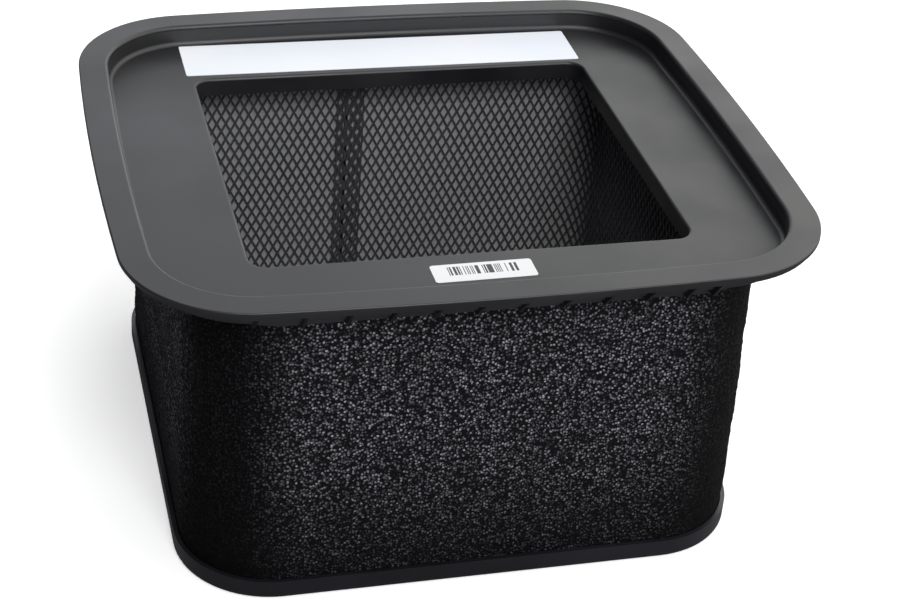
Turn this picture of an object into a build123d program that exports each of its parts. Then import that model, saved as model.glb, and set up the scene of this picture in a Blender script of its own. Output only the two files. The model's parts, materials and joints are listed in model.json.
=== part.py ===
"""Box-shaped air purifier filter cassette, in millimetres.

A moulded top frame with a wide bowed flange carries a wrapped filter pack, which stands in
a shallow bottom cap. Air goes in through the four sides and out through the square opening.
The origin is at the bottom centre, +Z is up and the front side faces -Y.
"""

import math
import os

from build123d import *

os.makedirs("parts", exist_ok=True)

# Overall sizes
total_height = 142.0
flange_width = 280.0
flange_depth = 256.0

# Flange and its underside
flange_corner = 49.0
flange_bow = 4.7
flange_plate = 1.6
flange_edge_round = 0.5
lip_inset = 1.5
lip_wall = 1.8
lip_drop = 4.0

# Tray that sinks inside the flange
tray_inset = 12.7
tray_bow = 3.4
tray_corner = 37.5
tray_depth = 9.3
tray_wall = 2.0
tray_floor = 1.8
tray_rim_round = 1.5
tray_foot_round = 2.0

# Air opening in the tray floor
opening_width = 176.4
opening_depth = 158.0
opening_corner = 7.0
opening_shift = -0.9
opening_edge_round = 1.2
collar_wall = 1.6
collar_drop = 17.3

# Filter pack, from the outside inwards
sleeve_width = 225.6
sleeve_depth = 220.9
sleeve_corner = 34.0
sleeve_flare = 3.1
sleeve_wall = 3.2
mesh_width = 203.0
mesh_depth = 188.0
mesh_corner = 17.0
mesh_wall = 0.8
fleece_wall = 0.5
pack_clearance = 0.15
glue_depth = 1.5

# Folded filter paper
pleat_count = 100
pleat_wall = 0.6
pleat_tip_gap = 0.8
pleat_corner_share = 0.8
flat_side = 0.999

# Skirt, glue channel and cap
skirt_wall = 1.8
skirt_drop = 15.0
wrap_clearance = 0.3
channel_rib_wall = 1.6
channel_rib_height = 4.5
cap_wall = 1.8
cap_floor = 2.0
cap_height = 8.3
cap_edge_round = 1.4
cap_foot_width = 9.0
cap_foot_height = 0.8

# Stiffening ribs under the flange
rib_wall = 1.1
rib_pitch = 16.5
rib_foot = 2.4
front_ribs_each_side = 5
front_left_rib_step = 18.0
front_right_rib_step = 10.8
side_ribs_each_side = 5
rib_shift = -0.5
corner_rib_angles = (27.0, 45.0, 63.0)

# Diamond gaps of the inner mesh
gap_pitch_across = 18.0
gap_pitch_up = 38.0
gap_share = 0.8
gap_rows = 3
mesh_lap_width = 14.0
mesh_lap_centre = -17.0

# Labels on the tray floor
label_width = 180.3
label_depth = 29.8
label_centre = (-1.0, 96.3)
label_turn = -0.35
label_corner = 1.0
label_thickness = 0.2
sticker_width = 40.2
sticker_depth = 12.3
sticker_centre = (-1.5, -93.8)
sticker_turn = 0.7
sticker_corner = 1.3
sticker_thickness = 0.15

# Levels that follow from the sizes above
floor_top = total_height - tray_depth
floor_under = floor_top - tray_floor
plate_under = total_height - flange_plate
lip_bottom = total_height - lip_drop
skirt_bottom = total_height - skirt_drop
collar_bottom = total_height - collar_drop
pack_top = floor_under - glue_depth
pack_bottom = cap_floor + glue_depth
pack_height = pack_top - pack_bottom


def bowed_rectangle(width, depth, bow, corner):
    """Return a rectangle whose four sides swell outwards by bow at mid-length."""
    half_w = width / 2
    half_d = depth / 2
    end_w = half_w - bow
    end_d = half_d - bow
    with BuildSketch() as outline:
        with BuildLine():
            ThreePointArc((-end_w, -end_d), (0, -half_d), (end_w, -end_d))
            ThreePointArc((end_w, -end_d), (half_w, 0), (end_w, end_d))
            ThreePointArc((end_w, end_d), (0, half_d), (-end_w, end_d))
            ThreePointArc((-end_w, end_d), (-half_w, 0), (-end_w, -end_d))
        make_face()
        fillet(outline.vertices(), corner)
    return outline.sketch


def rounded(width, depth, corner, grow=0.0):
    """Return a rounded rectangle, moved outwards on every side by grow."""
    with BuildSketch() as outline:
        RectangleRounded(width + 2 * grow, depth + 2 * grow, corner + grow)
    return outline.sketch


def flange_outline(inset=0.0):
    """Return the outline of the flange, moved inwards by inset."""
    return bowed_rectangle(
        flange_width - 2 * inset,
        flange_depth - 2 * inset,
        flange_bow,
        flange_corner - inset,
    )


def tray_outline(grow=0.0):
    """Return the inner face of the tray wall, moved outwards by grow."""
    return bowed_rectangle(
        flange_width - 2 * tray_inset + 2 * grow,
        flange_depth - 2 * tray_inset + 2 * grow,
        tray_bow,
        tray_corner + grow,
    )


def opening_outline(grow=0.0):
    """Return the outline of the air opening, moved outwards by grow."""
    outline = rounded(opening_width, opening_depth, opening_corner, grow)
    return outline.moved(Location((0, opening_shift)))


def sleeve_outline(grow=0.0):
    """Return the outer outline of the sleeve at its upper end, moved outwards by grow."""
    return rounded(sleeve_width, sleeve_depth, sleeve_corner, grow)


def mesh_outline(grow=0.0):
    """Return the inner face of the mesh liner, moved outwards by grow."""
    return rounded(mesh_width, mesh_depth, mesh_corner, grow)


skirt_grow = wrap_clearance + skirt_wall
cap_grow = sleeve_flare + wrap_clearance + cap_wall
fleece_grow = mesh_wall + pack_clearance
paper_inner_grow = fleece_grow + fleece_wall + pack_clearance

# Stiffening ribs under the flange
lip_inner_inset = lip_inset + lip_wall
rib_reach = max(flange_width, flange_depth)
front_rib_places = [rib_shift + rib_pitch * (i + 0.5) for i in range(-front_ribs_each_side, front_ribs_each_side)]
front_rib_places.insert(0, front_rib_places[0] - front_left_rib_step)
front_rib_places.append(front_rib_places[-1] + front_right_rib_step)
side_rib_places = [rib_pitch * (i + 0.5) for i in range(-side_ribs_each_side, side_ribs_each_side)]
corner_centre_x = flange_width / 2 - flange_corner
corner_centre_y = flange_depth / 2 - flange_corner

with BuildPart() as rib_set:
    with BuildSketch(Plane.XY.offset(lip_bottom)):
        add(flange_outline(lip_inset + lip_wall / 2))
    extrude(amount=lip_drop - flange_plate / 2)
    with BuildSketch(Plane.XY.offset(lip_bottom)):
        add(flange_outline(lip_inset + lip_wall / 2))
    with BuildSketch(Plane.XY.offset(skirt_bottom)):
        add(sleeve_outline(skirt_grow + rib_foot))
    loft(ruled=True)
    with BuildSketch(Plane.XY.offset(skirt_bottom)):
        with Locations(*[(x, 0) for x in front_rib_places]):
            Rectangle(rib_wall, rib_reach)
        with Locations(*[(0, y) for y in side_rib_places]):
            Rectangle(rib_reach * 1.1, rib_wall)
        for side_x in (-1, 1):
            for side_y in (-1, 1):
                for angle in corner_rib_angles:
                    turn = math.degrees(math.atan2(side_y, side_x)) + (angle - 45) * side_x * side_y
                    reach = Location((side_x * corner_centre_x, side_y * corner_centre_y), turn)
                    with Locations(reach):
                        Rectangle(rib_reach / 3, rib_wall, align=(Align.MIN, Align.CENTER))
    extrude(amount=skirt_drop, mode=Mode.INTERSECT)
    with BuildSketch(Plane.XY.offset(skirt_bottom)):
        add(sleeve_outline(skirt_grow - skirt_wall / 2))
    extrude(amount=skirt_drop, mode=Mode.SUBTRACT)

# Top frame: flange, sunk tray, skirt round the pack and collar round the opening
with BuildPart() as top_frame:
    with BuildSketch(Plane.XY.offset(plate_under)):
        add(flange_outline())
    plate = extrude(amount=flange_plate)
    fillet(plate.edges().group_by(Axis.Z)[-1], flange_edge_round)
    with BuildSketch(Plane.XY.offset(lip_bottom)):
        add(flange_outline(lip_inset))
        add(flange_outline(lip_inner_inset), mode=Mode.SUBTRACT)
    extrude(amount=lip_drop - flange_plate / 2)
    with BuildSketch(Plane.XY.offset(floor_under)):
        add(tray_outline(tray_wall))
    extrude(amount=tray_depth)
    with BuildSketch(Plane.XY.offset(skirt_bottom)):
        add(sleeve_outline(skirt_grow))
        add(sleeve_outline(wrap_clearance), mode=Mode.SUBTRACT)
    extrude(amount=skirt_drop - tray_depth - tray_floor / 2)
    with BuildSketch(Plane.XY.offset(floor_under - channel_rib_height)):
        add(mesh_outline(-pack_clearance))
        add(mesh_outline(-pack_clearance - channel_rib_wall), mode=Mode.SUBTRACT)
    extrude(amount=channel_rib_height + tray_floor / 2)
    with BuildSketch(Plane.XY.offset(collar_bottom)):
        add(opening_outline(collar_wall))
    extrude(amount=collar_drop - tray_depth - tray_floor / 2)
    add(rib_set.part)
    with BuildSketch(Plane.XY.offset(floor_top)):
        add(tray_outline())
    extrude(amount=tray_depth, mode=Mode.SUBTRACT)
    with BuildSketch(Plane.XY.offset(collar_bottom)):
        add(opening_outline())
    extrude(amount=collar_drop, mode=Mode.SUBTRACT)
    foot = top_frame.faces().filter_by(Axis.Z).filter_by_position(Axis.Z, floor_top - 0.1, floor_top + 0.1)
    fillet(foot.sort_by(SortBy.AREA)[-1].outer_wire().edges(), tray_foot_round)
    fillet(foot.sort_by(SortBy.AREA)[-1].inner_wires()[0].edges(), opening_edge_round)
    rim = top_frame.faces().filter_by(Axis.Z).filter_by_position(Axis.Z, total_height - 0.1, total_height + 0.1)
    fillet(rim.sort_by(SortBy.AREA)[-1].inner_wires()[0].edges(), min(tray_rim_round, 0.75 * tray_wall))
top_frame.part.label = "top_frame"

# Bottom cap: low wall round the sleeve, glue channel and a raised foot line underneath
with BuildPart() as bottom_cap:
    with BuildSketch():
        add(sleeve_outline(cap_grow))
    extrude(amount=cap_height)
    fillet(bottom_cap.edges().group_by(Axis.Z)[0], cap_edge_round)
    with BuildSketch(Plane.XY.offset(cap_floor)):
        add(sleeve_outline(cap_grow - cap_wall))
    extrude(amount=cap_height, mode=Mode.SUBTRACT)
    with BuildSketch(Plane.XY.offset(cap_floor)):
        add(mesh_outline(-pack_clearance))
        add(mesh_outline(-pack_clearance - channel_rib_wall), mode=Mode.SUBTRACT)
    extrude(amount=channel_rib_height)
    with BuildSketch():
        add(sleeve_outline(cap_grow - cap_edge_round - cap_foot_width))
    extrude(amount=cap_foot_height, mode=Mode.SUBTRACT)
bottom_cap.part.label = "bottom_cap"

# Granular carbon sleeve, which widens a little towards the cap
sleeve_taper = math.degrees(math.atan(sleeve_flare / pack_height))
with BuildPart() as carbon_sleeve:
    for grow, cut in ((0.0, Mode.ADD), (-sleeve_wall, Mode.SUBTRACT)):
        with BuildSketch(Plane.XY.offset(pack_bottom)):
            add(sleeve_outline(grow + sleeve_flare))
        extrude(amount=pack_height, taper=sleeve_taper, mode=cut)
carbon_sleeve.part.label = "carbon_sleeve"

# Folded filter paper: one closed band of pleats between the fleece and the sleeve
paper_inner = mesh_outline(paper_inner_grow)
half_depth_x = (sleeve_width / 2 - sleeve_wall - pleat_tip_gap - mesh_width / 2 - paper_inner_grow) / 2
half_depth_y = (sleeve_depth / 2 - sleeve_wall - pleat_tip_gap - mesh_depth / 2 - paper_inner_grow) / 2
paper_middle = rounded(
    mesh_width + 2 * (paper_inner_grow + half_depth_x),
    mesh_depth + 2 * (paper_inner_grow + half_depth_y),
    mesh_corner + paper_inner_grow + half_depth_x,
)


def fold_points(tip_inset, valley_outset):
    """Return the corners of the folded paper, with its tips and valleys moved by a wall."""
    middle = paper_middle.face().outer_wire()
    points = []
    for fold in range(2 * pleat_count):
        along = fold / (2 * pleat_count)
        place = middle @ along
        out = Vector(place.X, place.Y).normalized()
        tangent = middle % along
        normal = Vector(tangent.Y, -tangent.X)
        if normal.dot(out) < 0:
            normal = -normal
        if abs(normal.Y) > flat_side:
            half_depth = half_depth_y
        elif abs(normal.X) > flat_side:
            half_depth = half_depth_x
        else:
            half_depth = half_depth_x * pleat_corner_share
        move = half_depth - tip_inset if fold % 2 == 0 else valley_outset - half_depth
        point = place + normal * move
        points.append((point.X, point.Y))
    return points


fold_pitch = paper_middle.face().outer_wire().length / pleat_count
fold_flank = math.hypot(fold_pitch / 2, 2 * half_depth_x)
fold_wall = pleat_wall * fold_flank / (fold_pitch / 2)
with BuildPart() as filter_paper:
    with BuildSketch(Plane.XY.offset(pack_bottom)):
        with BuildLine():
            Polyline(*fold_points(0.0, fold_wall), close=True)
        make_face()
        with BuildLine():
            Polyline(*fold_points(fold_wall, 0.0), close=True)
        make_face(mode=Mode.SUBTRACT)
    extrude(amount=pack_height)
filter_paper.part.label = "filter_paper"

# Plain inner fleece between the paper and the mesh
with BuildPart() as inner_fleece:
    with BuildSketch(Plane.XY.offset(pack_bottom)):
        add(mesh_outline(fleece_grow + fleece_wall))
        add(mesh_outline(fleece_grow), mode=Mode.SUBTRACT)
    extrude(amount=pack_height)
inner_fleece.part.label = "inner_fleece"

# Diamond mesh liner with its overlapped ends at the back
gap_across = gap_pitch_across * gap_share
gap_up = gap_pitch_up * gap_share
gap_shape = [(-gap_across / 2, 0), (0, -gap_up / 2), (gap_across / 2, 0), (0, gap_up / 2)]
gap_columns_back = math.floor((mesh_width - 2 * mesh_corner) / gap_pitch_across)
gap_columns_side = math.floor((mesh_depth - 2 * mesh_corner) / gap_pitch_across)
mesh_middle = (pack_bottom + pack_top) / 2
lap_bottom = cap_floor + channel_rib_height + wrap_clearance
lap_top = floor_under - channel_rib_height - wrap_clearance
with BuildPart() as inner_mesh:
    with BuildSketch(Plane.XY.offset(pack_bottom)):
        add(mesh_outline(mesh_wall))
        add(mesh_outline(), mode=Mode.SUBTRACT)
    extrude(amount=pack_height)
    with BuildSketch(Plane.XY.offset(lap_bottom)):
        with Locations((mesh_lap_centre, mesh_depth / 2)):
            Rectangle(mesh_lap_width, mesh_wall, align=(Align.CENTER, Align.MAX))
    extrude(amount=lap_top - lap_bottom)
    for wall_plane, columns in ((Plane.XZ, gap_columns_back), (Plane.YZ, gap_columns_side)):
        with BuildSketch(wall_plane):
            for columns_here, rows_here in ((columns, gap_rows), (columns - 1, gap_rows - 1)):
                with Locations((0, mesh_middle)):
                    with GridLocations(gap_pitch_across, gap_pitch_up, columns_here, rows_here):
                        Polygon(*gap_shape)
        extrude(amount=mesh_width, both=True, mode=Mode.SUBTRACT)
inner_mesh.part.label = "inner_mesh"

# Glue that holds the pack in the frame and in the cap
with BuildPart() as top_glue:
    with BuildSketch(Plane.XY.offset(pack_top)):
        add(sleeve_outline(wrap_clearance))
        add(mesh_outline(-pack_clearance), mode=Mode.SUBTRACT)
    extrude(amount=glue_depth)
top_glue.part.label = "top_glue"

with BuildPart() as bottom_glue:
    with BuildSketch(Plane.XY.offset(cap_floor)):
        add(sleeve_outline(cap_grow - cap_wall))
        add(mesh_outline(-pack_clearance), mode=Mode.SUBTRACT)
    extrude(amount=glue_depth)
bottom_glue.part.label = "bottom_glue"

# Bare labels on the tray floor
with BuildPart() as product_label:
    with BuildSketch(Plane.XY.offset(floor_top)):
        with Locations(Location(label_centre, label_turn)):
            RectangleRounded(label_width, label_depth, label_corner)
    extrude(amount=label_thickness)
product_label.part.label = "product_label"

with BuildPart() as code_sticker:
    with BuildSketch(Plane.XY.offset(floor_top)):
        with Locations(Location(sticker_centre, sticker_turn)):
            RectangleRounded(sticker_width, sticker_depth, sticker_corner)
    extrude(amount=sticker_thickness)
code_sticker.part.label = "code_sticker"

pieces = (
    top_frame,
    bottom_cap,
    carbon_sleeve,
    filter_paper,
    inner_fleece,
    inner_mesh,
    top_glue,
    bottom_glue,
    product_label,
    code_sticker,
)
for piece in pieces:
    export_step(piece.part, f"parts/{piece.part.label}.step")
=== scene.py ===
"""Dresses the filter cassette: finishes, granular sleeve, diamond net, floor, light and camera."""

import json
import logging
import math
from dataclasses import dataclass
from enum import Enum

import bpy
from mathutils import Matrix, Vector

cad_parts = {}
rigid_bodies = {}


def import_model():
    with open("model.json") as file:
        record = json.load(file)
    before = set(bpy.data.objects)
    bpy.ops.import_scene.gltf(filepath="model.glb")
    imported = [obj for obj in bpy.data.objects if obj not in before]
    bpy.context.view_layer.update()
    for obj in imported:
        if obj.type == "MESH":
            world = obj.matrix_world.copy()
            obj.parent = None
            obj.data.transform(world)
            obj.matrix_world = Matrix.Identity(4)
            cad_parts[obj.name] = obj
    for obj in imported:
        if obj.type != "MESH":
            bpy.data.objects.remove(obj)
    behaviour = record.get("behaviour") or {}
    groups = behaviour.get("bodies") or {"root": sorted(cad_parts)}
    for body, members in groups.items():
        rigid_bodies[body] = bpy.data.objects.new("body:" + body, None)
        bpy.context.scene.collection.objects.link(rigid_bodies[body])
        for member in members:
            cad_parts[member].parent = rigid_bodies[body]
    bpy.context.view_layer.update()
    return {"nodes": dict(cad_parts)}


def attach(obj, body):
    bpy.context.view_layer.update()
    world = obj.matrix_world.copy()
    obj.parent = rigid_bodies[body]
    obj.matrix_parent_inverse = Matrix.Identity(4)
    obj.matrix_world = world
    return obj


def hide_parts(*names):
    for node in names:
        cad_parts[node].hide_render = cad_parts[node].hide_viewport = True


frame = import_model()

MM = 0.001

log = logging.getLogger("filter cassette")

# How near two levels or places lie, in metres, to count as the same
SAME = 1e-6
SAME_IN_GRID = 1e-7
ON_STRAIGHT = 1e-5
ON_CORNER = 1e-4

Colour = tuple[float, float, float, float]
Place = tuple[float, float, float]

WHITE: Colour = (1.0, 1.0, 1.0, 1.0)


class RecordSlot(Enum):
    """Material slot names for the new pieces; nothing in the script uses them."""

    CARBON_FLEECE = "carbon_fleece"
    NET_PLASTIC = "mesh_plastic"


def linear(hex_code: str) -> Colour:
    """Turn an sRGB hex colour into a linear one.

    Args:
        hex_code: Six hex digits, with or without a leading hash.

    Returns:
        Linear red, green and blue, and an alpha of one.
    """
    digits = hex_code.lstrip("#")
    values = [int(digits[start : start + 2], 16) / 255 for start in (0, 2, 4)]
    red, green, blue = (v / 12.92 if v <= 0.04045 else ((v + 0.055) / 1.055) ** 2.4 for v in values)
    return red, green, blue, 1.0


def add_node(
    tree: bpy.types.NodeTree, kind: str, inputs: dict | None = None, **settings: object
) -> bpy.types.Node:
    """Add one node with its settings, values and links.

    Args:
        tree: Node tree of the material or world.
        kind: Blender's name of the node type.
        inputs: Socket name or number against a value, or against the output that feeds it.
        **settings: Attributes of the node.

    Returns:
        The new node.
    """
    node = tree.nodes.new(kind)
    for name, value in settings.items():
        setattr(node, name, value)
    for socket, value in (inputs or {}).items():
        if isinstance(value, bpy.types.NodeSocket):
            tree.links.new(value, node.inputs[socket])
        else:
            node.inputs[socket].default_value = value
    return node


def set_stops(ramp: bpy.types.Node, stops: list[tuple[float, Colour]]) -> None:
    """Give a colour ramp its stops.

    Args:
        ramp: The colour ramp node.
        stops: Place and colour of each stop, from left to right.
    """
    elements = ramp.color_ramp.elements
    while len(elements) < len(stops):
        elements.new(1.0)
    for element, (place, colour) in zip(elements, stops):
        element.position = place
        element.color = colour


@dataclass(frozen=True)
class Finish:
    """One real material and the way its surface was made."""

    name: str

    def build(self) -> bpy.types.Material:
        """Make the material.

        Returns:
            The finished material.
        """
        material = bpy.data.materials.new(self.name)
        material.use_nodes = True
        tree = material.node_tree
        tree.nodes.clear()
        shader = add_node(tree, "ShaderNodeBsdfPrincipled")
        add_node(tree, "ShaderNodeOutputMaterial", {"Surface": shader.outputs["BSDF"]})
        place = add_node(tree, "ShaderNodeTexCoord").outputs["Object"]
        self.dress(tree, shader, place)
        return material

    def dress(self, tree: bpy.types.NodeTree, shader: bpy.types.Node, place: bpy.types.NodeSocket) -> None:
        """Set the shader's sockets and patterns.

        Args:
            tree: Node tree of the material.
            shader: Its Principled shader.
            place: Object coordinates, in metres.
        """
        raise NotImplementedError


@dataclass(frozen=True)
class MouldedPlastic(Finish):
    """Injection moulded black ABS from an eroded tool: satin, with a fine even grain."""

    colour: str = "#161618"
    worn_colour: str = "#202022"
    roughness: float = 0.4
    roughness_swing: float = 0.06
    grain_mm: float = 0.55
    grain_height_mm: float = 0.012
    flow_mm: float = 45.0
    flow_low: float = 0.35
    flow_high: float = 0.65
    worn_at: float = 0.7
    index_of_refraction: float = 1.52

    def dress(self, tree: bpy.types.NodeTree, shader: bpy.types.Node, place: bpy.types.NodeSocket) -> None:
        """Set the shader's sockets and patterns.

        Args:
            tree: Node tree of the material.
            shader: Its Principled shader.
            place: Object coordinates, in metres.
        """
        flow = add_node(
            tree,
            "ShaderNodeTexNoise",
            {"Vector": place, "Scale": 1 / (self.flow_mm * MM), "Detail": 3.0, "Roughness": 0.55},
        )
        tint = self.tint(tree, flow.outputs["Fac"])
        gloss = add_node(
            tree,
            "ShaderNodeMapRange",
            {
                "Value": flow.outputs["Fac"],
                "From Min": self.flow_low,
                "From Max": self.flow_high,
                "To Min": self.roughness - self.roughness_swing,
                "To Max": self.roughness + self.roughness_swing,
            },
        )
        # The real grain is a tenth of a millimetre; it is drawn wider so that it shows
        grain = add_node(
            tree,
            "ShaderNodeTexNoise",
            {"Vector": place, "Scale": 1 / (self.grain_mm * MM), "Detail": 2.0, "Roughness": 0.6},
        )
        bump = add_node(
            tree,
            "ShaderNodeBump",
            {"Height": grain.outputs["Fac"], "Distance": self.grain_height_mm * MM, "Strength": 1.0},
        )
        tree.links.new(tint, shader.inputs["Base Color"])
        tree.links.new(gloss.outputs["Result"], shader.inputs["Roughness"])
        tree.links.new(bump.outputs["Normal"], shader.inputs["Normal"])
        shader.inputs["IOR"].default_value = self.index_of_refraction

    def tint(self, tree: bpy.types.NodeTree, flow: bpy.types.NodeSocket) -> bpy.types.NodeSocket:
        """Mix the plain and the slightly worn colour.

        Args:
            tree: Node tree of the material.
            flow: Slow pattern across the moulding.

        Returns:
            The colour output.
        """
        ramp = add_node(tree, "ShaderNodeValToRGB", {"Fac": flow})
        set_stops(ramp, [(self.flow_low, linear(self.colour)), (self.worn_at, linear(self.worn_colour))])
        return ramp.outputs["Color"]


@dataclass(frozen=True)
class CarbonFleece(Finish):
    """Needled fleece filled with carbon granules: black, with a painted glint on the top of many granules
    and painted shade at the corners and low down.
    """

    # Painted shade: the fleece colour at the corners and low down
    painted_shade_base: str = "#050506"
    base: str = "#111113"
    # Painted glints: pale colours on the granule tops that stand in for the lamps' highlights
    dull_painted_glint: str = "#545458"
    bright_painted_glint: str = "#87878c"
    glint_crown: str = "#bebec4"
    granule_mm: float = 1.12
    granule_height_mm: float = 0.35
    crown_edge: float = 0.44
    granule_edge: float = 0.7
    fibre_mm: float = 0.35
    fibre_share: float = 0.3
    roughness: float = 0.75
    specular_level: float = 0.08
    # Where the painted shade starts, how far it fades and how dark it gets
    flat_half_width_mm: float = 66.0
    flat_half_depth_mm: float = 64.0
    corner_fade_mm: float = 32.0
    corner_share: float = 0.06
    low_mm: float = 6.0
    high_mm: float = 80.0
    low_share: float = 0.2

    def dress(self, tree: bpy.types.NodeTree, shader: bpy.types.Node, place: bpy.types.NodeSocket) -> None:
        """Set the shader's sockets and patterns.

        Args:
            tree: Node tree of the material.
            shader: Its Principled shader.
            place: Object coordinates, in metres.
        """
        granules = add_node(
            tree,
            "ShaderNodeTexVoronoi",
            {"Vector": place, "Scale": 1 / (self.granule_mm * MM), "Randomness": 1.0},
        )
        chance = add_node(tree, "ShaderNodeSeparateColor", {"Color": granules.outputs["Color"]})
        # Painted glints: each granule top gets a random glint strength, from none to strong
        shade = add_node(tree, "ShaderNodeValToRGB", {"Fac": chance.outputs["Red"]})
        stops = [
            (0.0, linear(self.base)),
            (0.3, linear(self.dull_painted_glint)),
            (0.75, linear(self.bright_painted_glint)),
            (1.0, linear(self.glint_crown)),
        ]
        set_stops(shade, stops)
        fibres = add_node(
            tree,
            "ShaderNodeTexNoise",
            {"Vector": place, "Scale": 1 / (self.fibre_mm * MM), "Detail": 3.0},
        )
        ragged = add_node(
            tree,
            "ShaderNodeMath",
            {0: fibres.outputs["Fac"], 1: self.fibre_share, 2: granules.outputs["Distance"]},
            operation="MULTIPLY_ADD",
        )
        crown = add_node(
            tree,
            "ShaderNodeMapRange",
            {
                "Value": ragged.outputs["Value"],
                "From Min": self.crown_edge,
                "From Max": self.granule_edge,
                "To Min": 1.0,
                "To Max": 0.0,
            },
        )
        # Painted shade: the glints fade and the fleece darkens at the corners and low down
        painted_light_share = self.painted_light_share(tree, place)
        # Painted glints on the granule tops, weaker where the painted shade falls
        bare = add_node(
            tree, "ShaderNodeMath", {0: crown.outputs["Result"], 1: painted_light_share}, operation="MULTIPLY"
        )
        # The fleece is painted darker where the painted shade falls
        fleece = add_node(
            tree,
            "ShaderNodeMix",
            {0: painted_light_share, 6: linear(self.painted_shade_base), 7: linear(self.base)},
            data_type="RGBA",
        )
        tint = add_node(
            tree,
            "ShaderNodeMix",
            {0: bare.outputs["Value"], 6: fleece.outputs[2], 7: shade.outputs["Color"]},
            data_type="RGBA",
        )
        bump = add_node(
            tree,
            "ShaderNodeBump",
            {"Height": crown.outputs["Result"], "Distance": self.granule_height_mm * MM, "Strength": 0.8},
        )
        tree.links.new(tint.outputs[2], shader.inputs["Base Color"])
        tree.links.new(bump.outputs["Normal"], shader.inputs["Normal"])
        shader.inputs["Roughness"].default_value = self.roughness
        shader.inputs["Specular IOR Level"].default_value = self.specular_level

    def painted_light_share(self, tree: bpy.types.NodeTree, place: bpy.types.NodeSocket) -> bpy.types.NodeSocket:
        """Tell how much painted light the granules get: less at the corners and low down, where painted
        shade darkens them.

        Args:
            tree: Node tree of the material.
            place: Object coordinates, in metres.

        Returns:
            A factor from nought to one.
        """
        axes = add_node(tree, "ShaderNodeSeparateXYZ", {"Vector": place})
        past = []
        for axis, half in (("X", self.flat_half_width_mm), ("Y", self.flat_half_depth_mm)):
            side = add_node(tree, "ShaderNodeMath", {0: axes.outputs[axis]}, operation="ABSOLUTE")
            beyond = add_node(
                tree, "ShaderNodeMath", {0: side.outputs["Value"], 1: half * MM}, operation="SUBTRACT"
            )
            past.append(beyond.outputs["Value"])
        corner = add_node(tree, "ShaderNodeMath", {0: past[0], 1: past[1]}, operation="MINIMUM")
        flat = add_node(
            tree,
            "ShaderNodeMapRange",
            {
                "Value": corner.outputs["Value"],
                "From Max": self.corner_fade_mm * MM,
                "To Min": 1.0,
                "To Max": self.corner_share,
            },
            interpolation_type="SMOOTHSTEP",
        )
        height = add_node(
            tree,
            "ShaderNodeMapRange",
            {
                "Value": axes.outputs["Z"],
                "From Min": self.low_mm * MM,
                "From Max": self.high_mm * MM,
                "To Min": self.low_share,
            },
            interpolation_type="SMOOTHSTEP",
        )
        both = add_node(
            tree,
            "ShaderNodeMath",
            {0: flat.outputs["Result"], 1: height.outputs["Result"]},
            operation="MULTIPLY",
        )
        return both.outputs["Value"]


@dataclass(frozen=True)
class NeedledFleece(Finish):
    """Thin needled polyester fleece: matt, with short tangled fibres."""

    colour: str = "#b8b8b8"
    shadow_colour: str = "#a2a2a3"
    fibre_mm: float = 0.6
    fibre_height_mm: float = 0.08
    roughness: float = 0.95
    fuzz: float = 0.15
    specular_level: float = 0.25

    def dress(self, tree: bpy.types.NodeTree, shader: bpy.types.Node, place: bpy.types.NodeSocket) -> None:
        """Set the shader's sockets and patterns.

        Args:
            tree: Node tree of the material.
            shader: Its Principled shader.
            place: Object coordinates, in metres.
        """
        fibres = add_node(
            tree,
            "ShaderNodeTexNoise",
            {"Vector": place, "Scale": 1 / (self.fibre_mm * MM), "Detail": 4.0, "Distortion": 1.2},
        )
        ramp = add_node(tree, "ShaderNodeValToRGB", {"Fac": fibres.outputs["Fac"]})
        set_stops(ramp, [(0.3, linear(self.shadow_colour)), (0.7, linear(self.colour))])
        bump = add_node(
            tree,
            "ShaderNodeBump",
            {"Height": fibres.outputs["Fac"], "Distance": self.fibre_height_mm * MM, "Strength": 0.8},
        )
        tree.links.new(ramp.outputs["Color"], shader.inputs["Base Color"])
        tree.links.new(bump.outputs["Normal"], shader.inputs["Normal"])
        shader.inputs["Roughness"].default_value = self.roughness
        shader.inputs["Sheen Weight"].default_value = self.fuzz
        shader.inputs["Specular IOR Level"].default_value = self.specular_level


@dataclass(frozen=True)
class PottingGlue(Finish):
    """Set potting glue: pale, smooth and slightly wavy where it ran level."""

    colour: str = "#c4bda6"
    deep_colour: str = "#b6ae96"
    wave_mm: float = 9.0
    wave_height_mm: float = 0.2
    roughness: float = 0.4

    def dress(self, tree: bpy.types.NodeTree, shader: bpy.types.Node, place: bpy.types.NodeSocket) -> None:
        """Set the shader's sockets and patterns.

        Args:
            tree: Node tree of the material.
            shader: Its Principled shader.
            place: Object coordinates, in metres.
        """
        wave = add_node(
            tree,
            "ShaderNodeTexNoise",
            {"Vector": place, "Scale": 1 / (self.wave_mm * MM), "Detail": 2.0},
        )
        ramp = add_node(tree, "ShaderNodeValToRGB", {"Fac": wave.outputs["Fac"]})
        set_stops(ramp, [(0.3, linear(self.deep_colour)), (0.7, linear(self.colour))])
        bump = add_node(
            tree,
            "ShaderNodeBump",
            {"Height": wave.outputs["Fac"], "Distance": self.wave_height_mm * MM, "Strength": 0.5},
        )
        tree.links.new(ramp.outputs["Color"], shader.inputs["Base Color"])
        tree.links.new(bump.outputs["Normal"], shader.inputs["Normal"])
        shader.inputs["Roughness"].default_value = self.roughness


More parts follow.
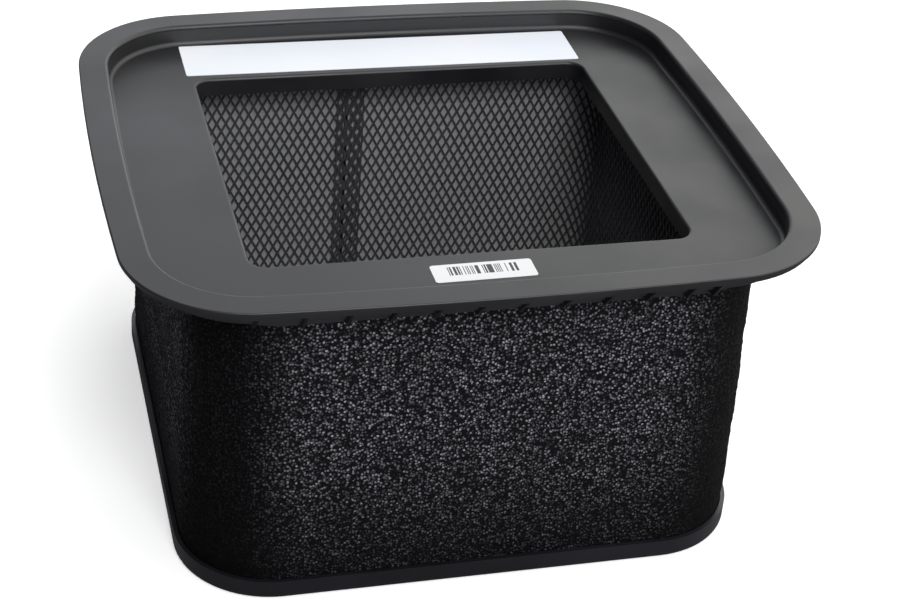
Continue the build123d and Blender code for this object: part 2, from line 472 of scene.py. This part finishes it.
@dataclass(frozen=True)
class LabelFilm(Finish):
    """White self-adhesive film: smooth, a little bluish, lying on the grain beneath it."""

    colour: str = "#eff1f5"
    tone_colour: str = "#e5eaf2"
    tone_mm: float = 60.0
    grain_mm: float = 1.2
    grain_height_mm: float = 0.01
    roughness: float = 0.42

    def dress(self, tree: bpy.types.NodeTree, shader: bpy.types.Node, place: bpy.types.NodeSocket) -> None:
        """Set the shader's sockets and patterns.

        Args:
            tree: Node tree of the material.
            shader: Its Principled shader.
            place: Object coordinates, in metres.
        """
        tone = add_node(
            tree,
            "ShaderNodeTexNoise",
            {"Vector": place, "Scale": 1 / (self.tone_mm * MM), "Detail": 1.0},
        )
        ramp = add_node(tree, "ShaderNodeValToRGB", {"Fac": tone.outputs["Fac"]})
        set_stops(ramp, [(0.3, linear(self.tone_colour)), (0.7, linear(self.colour))])
        grain = add_node(
            tree,
            "ShaderNodeTexNoise",
            {"Vector": place, "Scale": 1 / (self.grain_mm * MM), "Detail": 2.0},
        )
        bump = add_node(
            tree,
            "ShaderNodeBump",
            {"Height": grain.outputs["Fac"], "Distance": self.grain_height_mm * MM, "Strength": 0.6},
        )
        tree.links.new(self.printed(tree, place, ramp.outputs["Color"]), shader.inputs["Base Color"])
        tree.links.new(bump.outputs["Normal"], shader.inputs["Normal"])
        shader.inputs["Roughness"].default_value = self.roughness

    def printed(
        self, tree: bpy.types.NodeTree, place: bpy.types.NodeSocket, bare: bpy.types.NodeSocket
    ) -> bpy.types.NodeSocket:
        """Leave the film without print.

        Args:
            tree: Node tree of the material; not used.
            place: Object coordinates, in metres; not used.
            bare: Colour of the bare film.

        Returns:
            The bare colour.
        """
        return bare


@dataclass(frozen=True)
class BarredFilm(LabelFilm):
    """The same white film with one row of plain dark bars."""

    ink: str = "#26262a"
    centre_mm: tuple[float, float] = (-1.5, -93.8)
    turn_degrees: float = 0.7
    bar_mm: float = 0.36
    gap_share: float = 0.48
    row_half_width_mm: float = 14.3
    row_low_mm: float = -1.8
    row_high_mm: float = 4.2
    row_shift_mm: float = 0.6

    def printed(
        self, tree: bpy.types.NodeTree, place: bpy.types.NodeSocket, bare: bpy.types.NodeSocket
    ) -> bpy.types.NodeSocket:
        """Print the bars on the film.

        Args:
            tree: Node tree of the material.
            place: Object coordinates, in metres.
            bare: Colour of the bare film.

        Returns:
            The colour with the bars.
        """
        centred = add_node(
            tree,
            "ShaderNodeMapping",
            {
                "Vector": place,
                "Location": (self.centre_mm[0] * MM, self.centre_mm[1] * MM, 0.0),
                "Rotation": (0.0, 0.0, math.radians(self.turn_degrees)),
            },
            vector_type="TEXTURE",
        )
        axes = add_node(tree, "ShaderNodeSeparateXYZ", {"Vector": centred.outputs["Vector"]})
        step = add_node(
            tree, "ShaderNodeMath", {0: axes.outputs["X"], 1: 1 / (self.bar_mm * MM)}, operation="MULTIPLY"
        )
        number = add_node(tree, "ShaderNodeMath", {0: step.outputs["Value"]}, operation="FLOOR")
        chance = add_node(
            tree, "ShaderNodeTexWhiteNoise", {"W": number.outputs["Value"]}, noise_dimensions="1D"
        )
        bar = add_node(
            tree, "ShaderNodeMath", {0: chance.outputs["Value"], 1: self.gap_share}, operation="GREATER_THAN"
        )
        inside_x = add_node(
            tree,
            "ShaderNodeMath",
            {0: axes.outputs["X"], 1: self.row_shift_mm * MM, 2: self.row_half_width_mm * MM},
            operation="COMPARE",
        )
        inside_y = add_node(
            tree,
            "ShaderNodeMath",
            {
                0: axes.outputs["Y"],
                1: (self.row_low_mm + self.row_high_mm) / 2 * MM,
                2: (self.row_high_mm - self.row_low_mm) / 2 * MM,
            },
            operation="COMPARE",
        )
        row = add_node(
            tree,
            "ShaderNodeMath",
            {0: inside_x.outputs["Value"], 1: inside_y.outputs["Value"]},
            operation="MULTIPLY",
        )
        inked = add_node(
            tree, "ShaderNodeMath", {0: row.outputs["Value"], 1: bar.outputs["Value"]}, operation="MULTIPLY"
        )
        mix = add_node(
            tree,
            "ShaderNodeMix",
            {0: inked.outputs["Value"], 6: bare, 7: linear(self.ink)},
            data_type="RGBA",
        )
        return mix.outputs[2]


@dataclass(frozen=True)
class StudioPaper(Finish):
    """Pale matt floor paper, lifted to white for the camera, with the object's soft shadow on it."""

    colour: str = "#f4f4f4"
    bounce_colour: str = "#8c8c90"
    lift: float = 0.5
    roughness: float = 0.9
    specular_level: float = 0.1

    def dress(self, tree: bpy.types.NodeTree, shader: bpy.types.Node, place: bpy.types.NodeSocket) -> None:
        """Set the shader's sockets.

        Args:
            tree: Node tree of the material.
            shader: Its Principled shader.
            place: Object coordinates, in metres; not used.
        """
        ray = add_node(tree, "ShaderNodeLightPath")
        shown = add_node(
            tree,
            "ShaderNodeMix",
            {0: ray.outputs["Is Camera Ray"], 6: linear(self.bounce_colour), 7: linear(self.colour)},
            data_type="RGBA",
        )
        seen = add_node(
            tree, "ShaderNodeMath", {0: ray.outputs["Is Camera Ray"], 1: self.lift}, operation="MULTIPLY"
        )
        tree.links.new(shown.outputs[2], shader.inputs["Base Color"])
        tree.links.new(seen.outputs["Value"], shader.inputs["Emission Strength"])
        shader.inputs["Emission Color"].default_value = WHITE
        shader.inputs["Roughness"].default_value = self.roughness
        shader.inputs["Specular IOR Level"].default_value = self.specular_level


def deselect_all() -> None:
    """Deselect every object, because an operator acts on all that is selected."""
    bpy.ops.object.select_all(action="DESELECT")


def finish_mesh(name: str, material: bpy.types.Material) -> bpy.types.Object:
    """Name the active object and its mesh, and give it its material.

    Args:
        name: Plain name of the piece.
        material: Its finish.

    Returns:
        The object.
    """
    piece = bpy.context.object
    piece.name = name
    piece.data.name = name
    piece.data.materials.clear()
    piece.data.materials.append(material)
    return piece


def dress_node(name: str, material: bpy.types.Material) -> None:
    """Give a CAD node its finish.

    Args:
        name: Name of the node.
        material: Its finish.
    """
    node = frame["nodes"][name]
    if not node.material_slots:
        node.data.materials.append(material)
    for slot in node.material_slots:
        slot.material = material
    log.info("dressed %s in %s", name, material.name)


def rounded_loop(
    width: float, depth: float, corner: float, level: float, corner_steps: int, cuts: int
) -> None:
    """Add a closed rounded rectangle of edges in edit mode and leave it selected.

    Args:
        width: Size along X, in metres.
        depth: Size along Y, in metres.
        corner: Corner radius, in metres.
        level: Height of the loop, in metres.
        corner_steps: Edges in each corner.
        cuts: Cuts in each straight side.
    """
    bpy.ops.mesh.select_all(action="DESELECT")
    bpy.ops.mesh.primitive_plane_add(size=1.0, location=(0.0, 0.0, level))
    bpy.ops.transform.resize(value=(width, depth, 1.0), center_override=(0.0, 0.0, level))
    bpy.ops.mesh.bevel(offset=corner, segments=corner_steps, affect="VERTICES", clamp_overlap=False)
    bpy.ops.mesh.select_linked()
    bpy.ops.mesh.delete(type="ONLY_FACE")
    bpy.ops.mesh.select_mode(type="EDGE")
    bpy.ops.object.mode_set(mode="OBJECT")
    mesh = bpy.context.object.data
    long_edge = min(width, depth) / 2 - corner
    for edge in mesh.edges:
        start, end = (mesh.vertices[i].co for i in edge.vertices)
        on_level = max(abs(start.z - level), abs(end.z - level)) < SAME_IN_GRID
        edge.select = on_level and (start - end).length > long_edge
    bpy.ops.object.mode_set(mode="EDIT")
    bpy.ops.mesh.subdivide(number_cuts=cuts)
    bpy.ops.mesh.select_mode(type="VERT")


def is_on_outline(point: Vector, width: float, depth: float, corner: float) -> bool:
    """Tell whether a point lies on a rounded rectangle.

    Args:
        point: The point, in metres.
        width: Size along X.
        depth: Size along Y.
        corner: Corner radius.

    Returns:
        True where it does, as near as a straight side and a faceted corner allow.
    """
    past_x = abs(point.x) - (width / 2 - corner)
    past_y = abs(point.y) - (depth / 2 - corner)
    if past_x > 0 and past_y > 0:
        return abs(math.hypot(past_x, past_y) - corner) < ON_CORNER
    return abs(max(past_x, past_y) - corner) < ON_STRAIGHT


@dataclass
class CarbonSleeve:
    """Granular fleece wrapped round the pack, wider towards the cap."""

    finish: Finish
    top_width: float = 225.6 * MM
    top_depth: float = 220.9 * MM
    top_corner: float = 34.0 * MM
    flare: float = 3.1 * MM
    wall: float = 3.2 * MM
    low: float = 3.5 * MM
    high: float = 129.4 * MM
    row_step: float = 1.25 * MM
    corner_steps: int = 44
    side_cuts: int = 100
    granule_height: float = 0.55 * MM
    granule_size: float = 0.9 * MM
    granule_middle: float = 0.5
    granule_contrast: float = 1.2
    wave_height: float = 1.6 * MM
    wave_middle: float = 0.1
    wave_size: float = 28.0 * MM
    free_low: float = 8.8 * MM
    free_high: float = 126.4 * MM
    fade: float = 7.0 * MM

    def build(self) -> bpy.types.Object:
        """Model the sleeve.

        Returns:
            The finished piece.
        """
        deselect_all()
        bpy.ops.mesh.primitive_plane_add(size=1.0)
        piece = bpy.context.object
        bpy.ops.object.mode_set(mode="EDIT")
        bpy.ops.mesh.delete(type="VERT")
        rows = round((self.high - self.low) / self.row_step)
        self.wall_between(0.0, rows - 1)
        self.wall_between(self.wall, 0)
        self.close_ends()
        bpy.ops.mesh.select_all(action="SELECT")
        bpy.ops.mesh.normals_make_consistent(inside=False)
        bpy.ops.object.mode_set(mode="OBJECT")
        self.roughen(piece)
        piece = finish_mesh("carbon_sleeve_granular", self.finish.build())
        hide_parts("carbon_sleeve")
        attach(piece, "root")
        return piece

    def loop_sizes(self, inset: float, at_cap: bool) -> tuple[float, float, float, float]:
        """Return width, depth, corner and level of one loop.

        Args:
            inset: How far the loop lies inside the outer face.
            at_cap: True for the wide end at the cap.

        Returns:
            Width, depth, corner radius and height.
        """
        grow = (self.flare if at_cap else 0.0) - inset
        level = self.low if at_cap else self.high
        return self.top_width + 2 * grow, self.top_depth + 2 * grow, self.top_corner + grow, level

    def wall_between(self, inset: float, cuts: int) -> None:
        """Bridge a low and a high loop into one wall.

        Args:
            inset: How far the wall lies inside the outer face.
            cuts: Rows of cuts between the two loops.
        """
        for at_cap in (True, False):
            rounded_loop(*self.loop_sizes(inset, at_cap), self.corner_steps, self.side_cuts)
        self.select_loops([(inset, True), (inset, False)])
        bpy.ops.mesh.bridge_edge_loops(number_cuts=cuts, interpolation="LINEAR", smoothness=0.0)

    def close_ends(self) -> None:
        """Close the wall's thickness at the top and at the cap."""
        for at_cap in (True, False):
            self.select_loops([(0.0, at_cap), (self.wall, at_cap)])
            bpy.ops.mesh.fill(use_beauty=False)

    def select_loops(self, wanted: list[tuple[float, bool]]) -> None:
        """Select the edges of the named loops.

        Args:
            wanted: Inset and end of each loop.
        """
        bpy.ops.mesh.select_mode(type="EDGE")
        bpy.ops.mesh.select_all(action="DESELECT")
        bpy.ops.object.mode_set(mode="OBJECT")
        mesh = bpy.context.object.data
        sizes = [self.loop_sizes(inset, at_cap) for inset, at_cap in wanted]
        marked = set()
        for width, depth, corner, level in sizes:
            marked |= {
                v.index
                for v in mesh.vertices
                if abs(v.co.z - level) < SAME and is_on_outline(v.co, width, depth, corner)
            }
        for edge in mesh.edges:
            start, end = edge.vertices
            level_edge = abs(mesh.vertices[start].co.z - mesh.vertices[end].co.z) < SAME
            edge.select = level_edge and start in marked and end in marked
        bpy.ops.object.mode_set(mode="EDIT")

    def roughen(self, piece: bpy.types.Object) -> None:
        """Push the outer face in and out, by single granules and in slow waves.

        Args:
            piece: The closed sleeve.
        """
        outer = piece.vertex_groups.new(name="outer face")
        mid_wall = self.wall / 2
        for vertex in piece.data.vertices:
            share = (self.high - vertex.co.z) / (self.high - self.low)
            grow = self.flare * share - mid_wall
            width = self.top_width / 2 + grow
            depth = self.top_depth / 2 + grow
            corner = self.top_corner + grow
            past_x = max(abs(vertex.co.x) - (width - corner), 0.0)
            past_y = max(abs(vertex.co.y) - (depth - corner), 0.0)
            room = min(vertex.co.z - self.free_low, self.free_high - vertex.co.z)
            if room > 0 and math.hypot(past_x, past_y) > corner:
                outer.add([vertex.index], min(room / self.fade, 1.0), "REPLACE")
        granules = bpy.data.textures.new("granules", "VORONOI")
        granules.noise_scale = self.granule_size
        granules.noise_intensity = self.granule_contrast
        waves = bpy.data.textures.new("slow waves", "CLOUDS")
        waves.noise_scale = self.wave_size
        for texture, height, middle in (
            (granules, self.granule_height, self.granule_middle),
            (waves, self.wave_height, self.wave_middle),
        ):
            press = piece.modifiers.new(texture.name, "DISPLACE")
            press.texture = texture
            press.texture_coords = "LOCAL"
            press.vertex_group = outer.name
            press.strength = height
            press.mid_level = middle
            bpy.ops.object.modifier_apply(modifier=press.name)


@dataclass
class DiamondNet:
    """Extruded net that lines the inside, with its ends lapped at the back."""

    finish: Finish
    inner_width: float = 203.0 * MM
    inner_depth: float = 188.0 * MM
    inner_corner: float = 17.0 * MM
    wall: float = 0.8 * MM
    low: float = 3.5 * MM
    high: float = 129.4 * MM
    cell_width: float = 4.18 * MM
    cell_height: float = 7.87 * MM
    strand: float = 0.8 * MM
    weld: float = 1.5 * MM
    weld_edge: float = 0.2 * MM
    weld_gap: float = 0.01 * MM
    thickness: float = 0.75 * MM
    seam_x: float = -16.2 * MM
    lap_left: float = -20.6 * MM
    lap_right: float = -8.1 * MM
    lap_low: float = 6.9 * MM
    lap_high: float = 126.0 * MM
    corner_steps: int = 10

    def build(self) -> bpy.types.Object:
        """Model the net and its lap as one piece.

        Returns:
            The finished piece.
        """
        path = self.build_path()
        length = path.data.splines[0].calc_length()
        cells = round(length / self.cell_width)
        net = self.flat_net(length, self.high - self.low, cells)
        self.wrap(net, path)
        lap = self.build_lap()
        deselect_all()
        net.select_set(True)
        lap.select_set(True)
        bpy.context.view_layer.objects.active = net
        bpy.ops.object.join()
        piece = finish_mesh("inner_net", self.finish.build())
        deselect_all()
        path.select_set(True)
        bpy.ops.object.delete()
        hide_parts("inner_mesh")
        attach(piece, "root")
        return piece

    def build_path(self) -> bpy.types.Object:
        """Make the closed line round which the net is bent.

        Returns:
            A closed curve that starts at the seam.
        """
        deselect_all()
        bpy.ops.mesh.primitive_plane_add(size=1.0)
        path = bpy.context.object
        half_wall = self.wall / 2
        width = self.inner_width + self.wall
        depth = self.inner_depth + self.wall
        corner = self.inner_corner + half_wall
        bpy.ops.object.mode_set(mode="EDIT")
        bpy.ops.transform.resize(value=(width, depth, 1.0), center_override=(0.0, 0.0, 0.0))
        steps = self.corner_steps
        bpy.ops.mesh.bevel(offset=corner, segments=steps, affect="VERTICES", clamp_overlap=False)
        bpy.ops.mesh.select_all(action="SELECT")
        bpy.ops.mesh.delete(type="ONLY_FACE")
        bpy.ops.object.mode_set(mode="OBJECT")
        bpy.ops.object.convert(target="CURVE")
        path.data.dimensions = "3D"
        path.data.twist_mode = "Z_UP"
        return path

    def flat_net(self, length: float, height: float, cells: int) -> bpy.types.Object:
        """Model a flat piece of net, standing along X with its middle at the origin.

        Args:
            length: Length along X, in metres.
            height: Height along Z, in metres.
            cells: Diamonds along X.

        Returns:
            The net as an object.
        """
        rows = round(height / self.cell_height)
        deselect_all()
        bpy.ops.mesh.primitive_grid_add(x_subdivisions=cells, y_subdivisions=rows, size=1.0)
        net = bpy.context.object
        bpy.ops.object.mode_set(mode="EDIT")
        bpy.ops.transform.resize(value=(length, height, 1.0), center_override=(0.0, 0.0, 0.0))
        bpy.ops.mesh.select_all(action="SELECT")
        bpy.ops.mesh.poke()
        bpy.ops.mesh.select_mode(type="EDGE")
        bpy.ops.mesh.select_all(action="DESELECT")
        bpy.ops.object.mode_set(mode="OBJECT")
        mesh = net.data
        low_x = -length / 2
        low_y = -height / 2
        for edge in mesh.edges:
            start, end = (mesh.vertices[i].co for i in edge.vertices)
            upright = abs(start.x - end.x) < SAME_IN_GRID
            level = abs(start.y - end.y) < SAME_IN_GRID
            on_side = upright and abs(abs(start.x) + low_x) < SAME
            on_end = level and abs(abs(start.y) + low_y) < SAME
            edge.select = (upright or level) and not (on_side or on_end)
        bpy.ops.object.mode_set(mode="EDIT")
        bpy.ops.mesh.dissolve_edges(use_verts=False)
        bpy.ops.mesh.select_mode(type="FACE")
        bpy.ops.mesh.select_all(action="SELECT")
        bpy.ops.mesh.inset(thickness=self.strand / 2, use_individual=True, use_even_offset=True)
        bpy.ops.mesh.delete(type="FACE")
        bpy.ops.mesh.select_all(action="SELECT")
        upright_turn = math.pi / 2
        bpy.ops.transform.rotate(value=upright_turn, orient_axis="X", center_override=(0.0, 0.0, 0.0))
        bpy.ops.object.mode_set(mode="OBJECT")
        depth = net.modifiers.new("depth", "SOLIDIFY")
        depth.thickness = self.thickness
        depth.offset = 0.0
        bpy.ops.object.modifier_apply(modifier=depth.name)
        return net

    def wrap(self, net: bpy.types.Object, path: bpy.types.Object) -> None:
        """Bend the flat net round the path and lift it to its place.

        Args:
            net: The flat net.
            path: The closed line.
        """
        low_x = min(vertex.co.x for vertex in net.data.vertices)
        deselect_all()
        net.select_set(True)
        bpy.context.view_layer.objects.active = net
        bpy.ops.object.mode_set(mode="EDIT")
        bpy.ops.mesh.select_all(action="SELECT")
        bpy.ops.transform.translate(value=(-low_x, 0.0, 0.0))
        bpy.ops.object.mode_set(mode="OBJECT")
        bend = net.modifiers.new("bend", "CURVE")
        bend.object = path
        bend.deform_axis = "POS_X"
        bpy.ops.object.modifier_apply(modifier=bend.name)
        bpy.ops.object.mode_set(mode="EDIT")
        bpy.ops.mesh.select_all(action="SELECT")
        bpy.ops.transform.translate(value=(0.0, 0.0, (self.low + self.high) / 2))
        bpy.ops.mesh.remove_doubles(threshold=self.weld_gap)
        bpy.ops.mesh.select_mode(type="FACE")
        bpy.ops.mesh.select_all(action="DESELECT")
        bpy.ops.mesh.select_interior_faces()
        bpy.ops.mesh.delete(type="ONLY_FACE")
        bpy.ops.object.mode_set(mode="OBJECT")

    def build_lap(self) -> bpy.types.Object:
        """Model the strip where the net's second end lies on the first.

        Returns:
            The lapped strip with its upright weld line.
        """
        width = self.lap_right - self.lap_left
        height = self.lap_high - self.lap_low
        lap = self.flat_net(width, height, round(width / self.cell_width))
        bpy.ops.object.mode_set(mode="EDIT")
        bpy.ops.mesh.primitive_cube_add(size=1.0)
        weld_size = (self.weld, self.thickness, height)
        bpy.ops.transform.resize(value=weld_size, center_override=(0.0, 0.0, 0.0))
        bpy.ops.mesh.bevel(offset=self.weld_edge, segments=1, affect="EDGES")
        bpy.ops.transform.translate(value=(self.seam_x - (self.lap_left + self.lap_right) / 2, 0.0, 0.0))
        bpy.ops.mesh.select_all(action="SELECT")
        inner_face = self.inner_depth / 2
        middle = (
            (self.lap_left + self.lap_right) / 2,
            inner_face - self.thickness / 2,
            (self.lap_low + self.lap_high) / 2,
        )
        bpy.ops.transform.translate(value=middle)
        bpy.ops.object.mode_set(mode="OBJECT")
        return lap


@dataclass
class MouldedShells:
    """Top frame and bottom cap, whose CAD solids stay."""

    frame_finish: Finish
    cap_finish: Finish

    def dress(self) -> None:
        """Give both mouldings their finish."""
        dress_node("top_frame", self.frame_finish.build())
        dress_node("bottom_cap", self.cap_finish.build())


@dataclass
class FilterPack:
    """Folded paper, inner fleece and the glue at both ends."""

    paper_finish: Finish
    fleece_finish: Finish
    glue_finish: Finish

    def dress(self) -> None:
        """Give the paper, the fleece and the glue their finish."""
        dress_node("filter_paper", self.paper_finish.build())
        dress_node("inner_fleece", self.fleece_finish.build())
        glue = self.glue_finish.build()
        dress_node("top_glue", glue)
        dress_node("bottom_glue", glue)


@dataclass
class TrayLabels:
    """The bare label behind the opening and the small barred sticker in front of it."""

    label_finish: Finish
    sticker_finish: Finish

    def dress(self) -> None:
        """Give both labels their film."""
        dress_node("product_label", self.label_finish.build())
        dress_node("code_sticker", self.sticker_finish.build())


@dataclass(frozen=True)
class Softbox:
    """One square area lamp: where it hangs, what it faces, its side in metres and its watts."""

    name: str
    place: Place
    target: Place
    size: float
    power: float
    in_reflections: bool = True

    def hang(self) -> None:
        """Hang the lamp."""
        data = bpy.data.lights.new(self.name, "AREA")
        data.shape = "SQUARE"
        data.size = self.size
        data.energy = self.power
        lamp = bpy.data.objects.new(self.name, data)
        bpy.context.scene.collection.objects.link(lamp)
        aim = (Vector(self.target) - Vector(self.place)).to_track_quat("-Z", "Y")
        lamp.matrix_world = Matrix.Translation(self.place) @ aim.to_matrix().to_4x4()
        lamp.visible_glossy = self.in_reflections


@dataclass(frozen=True)
class SkyPart:
    """One part of the room: its colour, and where it starts and is full along a world axis."""

    axis: str
    start: float
    full: float
    colour: Colour


@dataclass
class Studio:
    """Pale floor, soft lamps, white surroundings and the camera."""

    floor_finish: Finish
    floor_half: float = 4.0
    sky_strength: float = 0.25
    sky_high: Colour = (0.84, 0.86, 0.92, 1.0)
    sky_parts: tuple[SkyPart, ...] = (
        SkyPart("Z", 0.56, 0.4, (1.52, 1.54, 1.62, 1.0)),
        SkyPart("X", 0.2, 0.38, (2.0, 2.02, 1.93, 1.0)),
        SkyPart("X", 0.02, -0.35, (0.12, 0.12, 0.13, 1.0)),
        SkyPart("Y", -0.84, -0.93, (3.4, 3.42, 3.65, 1.0)),
    )
    lamps: tuple[Softbox, ...] = (
        Softbox("overhead softbox", (0.12, 0.1, 1.5), (0.0, 0.0, 0.05), 1.5, 16.5, in_reflections=False),
        Softbox("front softbox", (0.0, -1.0, 1.1), (0.0, 0.0, 0.08), 0.5, 7.5),
    )
    lens_mm: float = 81.06
    sensor_mm: float = 36.0
    shift_x: float = 0.00156
    camera_near: float = 0.01
    camera_place: Place = (-0.19518, -0.72098, 0.53346)
    camera_yaw: float = -16.07
    camera_pitch: float = 57.69
    camera_roll: float = 4.43

    def build(self) -> None:
        """Build floor, surroundings, lamps and camera."""
        self.build_floor()
        self.build_sky()
        for lamp in self.lamps:
            lamp.hang()
        self.build_camera()

    def build_floor(self) -> None:
        """Lay the floor under the cap."""
        deselect_all()
        bpy.ops.mesh.primitive_plane_add(size=2 * self.floor_half)
        floor = finish_mesh("studio_floor", self.floor_finish.build())

    def build_sky(self) -> None:
        """Light the scene softly from all sides, and show white to the camera and in reflections."""
        world = bpy.data.worlds.new("studio room")
        bpy.context.scene.world = world
        world.use_nodes = True
        tree = world.node_tree
        tree.nodes.clear()
        ray = add_node(tree, "ShaderNodeLightPath")
        direct = add_node(
            tree,
            "ShaderNodeMath",
            {0: ray.outputs["Is Camera Ray"], 1: ray.outputs["Is Glossy Ray"]},
            operation="MAXIMUM",
        )
        through = add_node(
            tree,
            "ShaderNodeMath",
            {0: direct.outputs["Value"], 1: ray.outputs["Is Transmission Ray"]},
            operation="MAXIMUM",
        )
        direction = add_node(tree, "ShaderNodeTexCoord").outputs["Generated"]
        axes = add_node(tree, "ShaderNodeSeparateXYZ", {"Vector": direction})
        room = self.sky_high
        for part in self.sky_parts:
            reach = add_node(
                tree,
                "ShaderNodeMapRange",
                {"Value": axes.outputs[part.axis], "From Min": part.start, "From Max": part.full},
            )
            mix = add_node(
                tree,
                "ShaderNodeMix",
                {0: reach.outputs["Result"], 6: room, 7: part.colour},
                data_type="RGBA",
            )
            room = mix.outputs[2]
        shown = add_node(
            tree,
            "ShaderNodeMix",
            {0: ray.outputs["Is Camera Ray"], 6: room, 7: WHITE},
            data_type="RGBA",
        )
        strength = add_node(
            tree,
            "ShaderNodeMapRange",
            {"Value": through.outputs["Value"], "To Min": self.sky_strength, "To Max": 1.0},
        )
        sky = add_node(
            tree,
            "ShaderNodeBackground",
            {"Color": shown.outputs[2], "Strength": strength.outputs["Result"]},
        )
        add_node(tree, "ShaderNodeOutputWorld", {"Surface": sky.outputs["Background"]})

    def build_camera(self) -> None:
        """Set the camera where the photograph was taken from."""
        data = bpy.data.cameras.new("camera")
        data.lens = self.lens_mm
        data.sensor_width = self.sensor_mm
        data.sensor_fit = "HORIZONTAL"
        data.shift_x = self.shift_x
        data.clip_start = self.camera_near
        camera = bpy.data.objects.new("camera", data)
        bpy.context.scene.collection.objects.link(camera)
        turn = (
            Matrix.Rotation(math.radians(self.camera_yaw), 4, "Z")
            @ Matrix.Rotation(math.radians(self.camera_pitch), 4, "X")
            @ Matrix.Rotation(math.radians(self.camera_roll), 4, "Z")
        )
        camera.matrix_world = Matrix.Translation(self.camera_place) @ turn
        bpy.context.scene.camera = camera
        bpy.context.scene.view_settings.view_transform = "Standard"


def main() -> None:
    """Build and dress the cassette, piece by piece."""
    logging.basicConfig(level=logging.INFO, format="%(name)s: %(message)s")
    MouldedShells(
        frame_finish=MouldedPlastic("moulded black ABS, satin"),
        cap_finish=MouldedPlastic(
            "moulded black ABS, cap", colour="#17161b", worn_colour="#1f1e24", roughness=0.3
        ),
    ).dress()
    FilterPack(
        paper_finish=NeedledFleece("folded filter paper", colour="#ecebe6", shadow_colour="#dcdbd4"),
        fleece_finish=NeedledFleece("needled grey fleece"),
        glue_finish=PottingGlue("set potting glue"),
    ).dress()
    TrayLabels(
        label_finish=LabelFilm("white label film"),
        sticker_finish=BarredFilm("white barred film", colour="#e4e4e6", tone_colour="#e0e0e3"),
    ).dress()
    sleeve = CarbonSleeve(CarbonFleece("needled fleece with carbon granules")).build()
    log.info("built %s with %d faces", sleeve.name, len(sleeve.data.polygons))
    net = DiamondNet(
        MouldedPlastic("extruded black net", colour="#444448", worn_colour="#4c4c50", roughness=0.42)
    ).build()
    log.info("built %s with %d faces", net.name, len(net.data.polygons))
    Studio(StudioPaper("pale studio paper")).build()


if __name__ == "__main__":
    main()
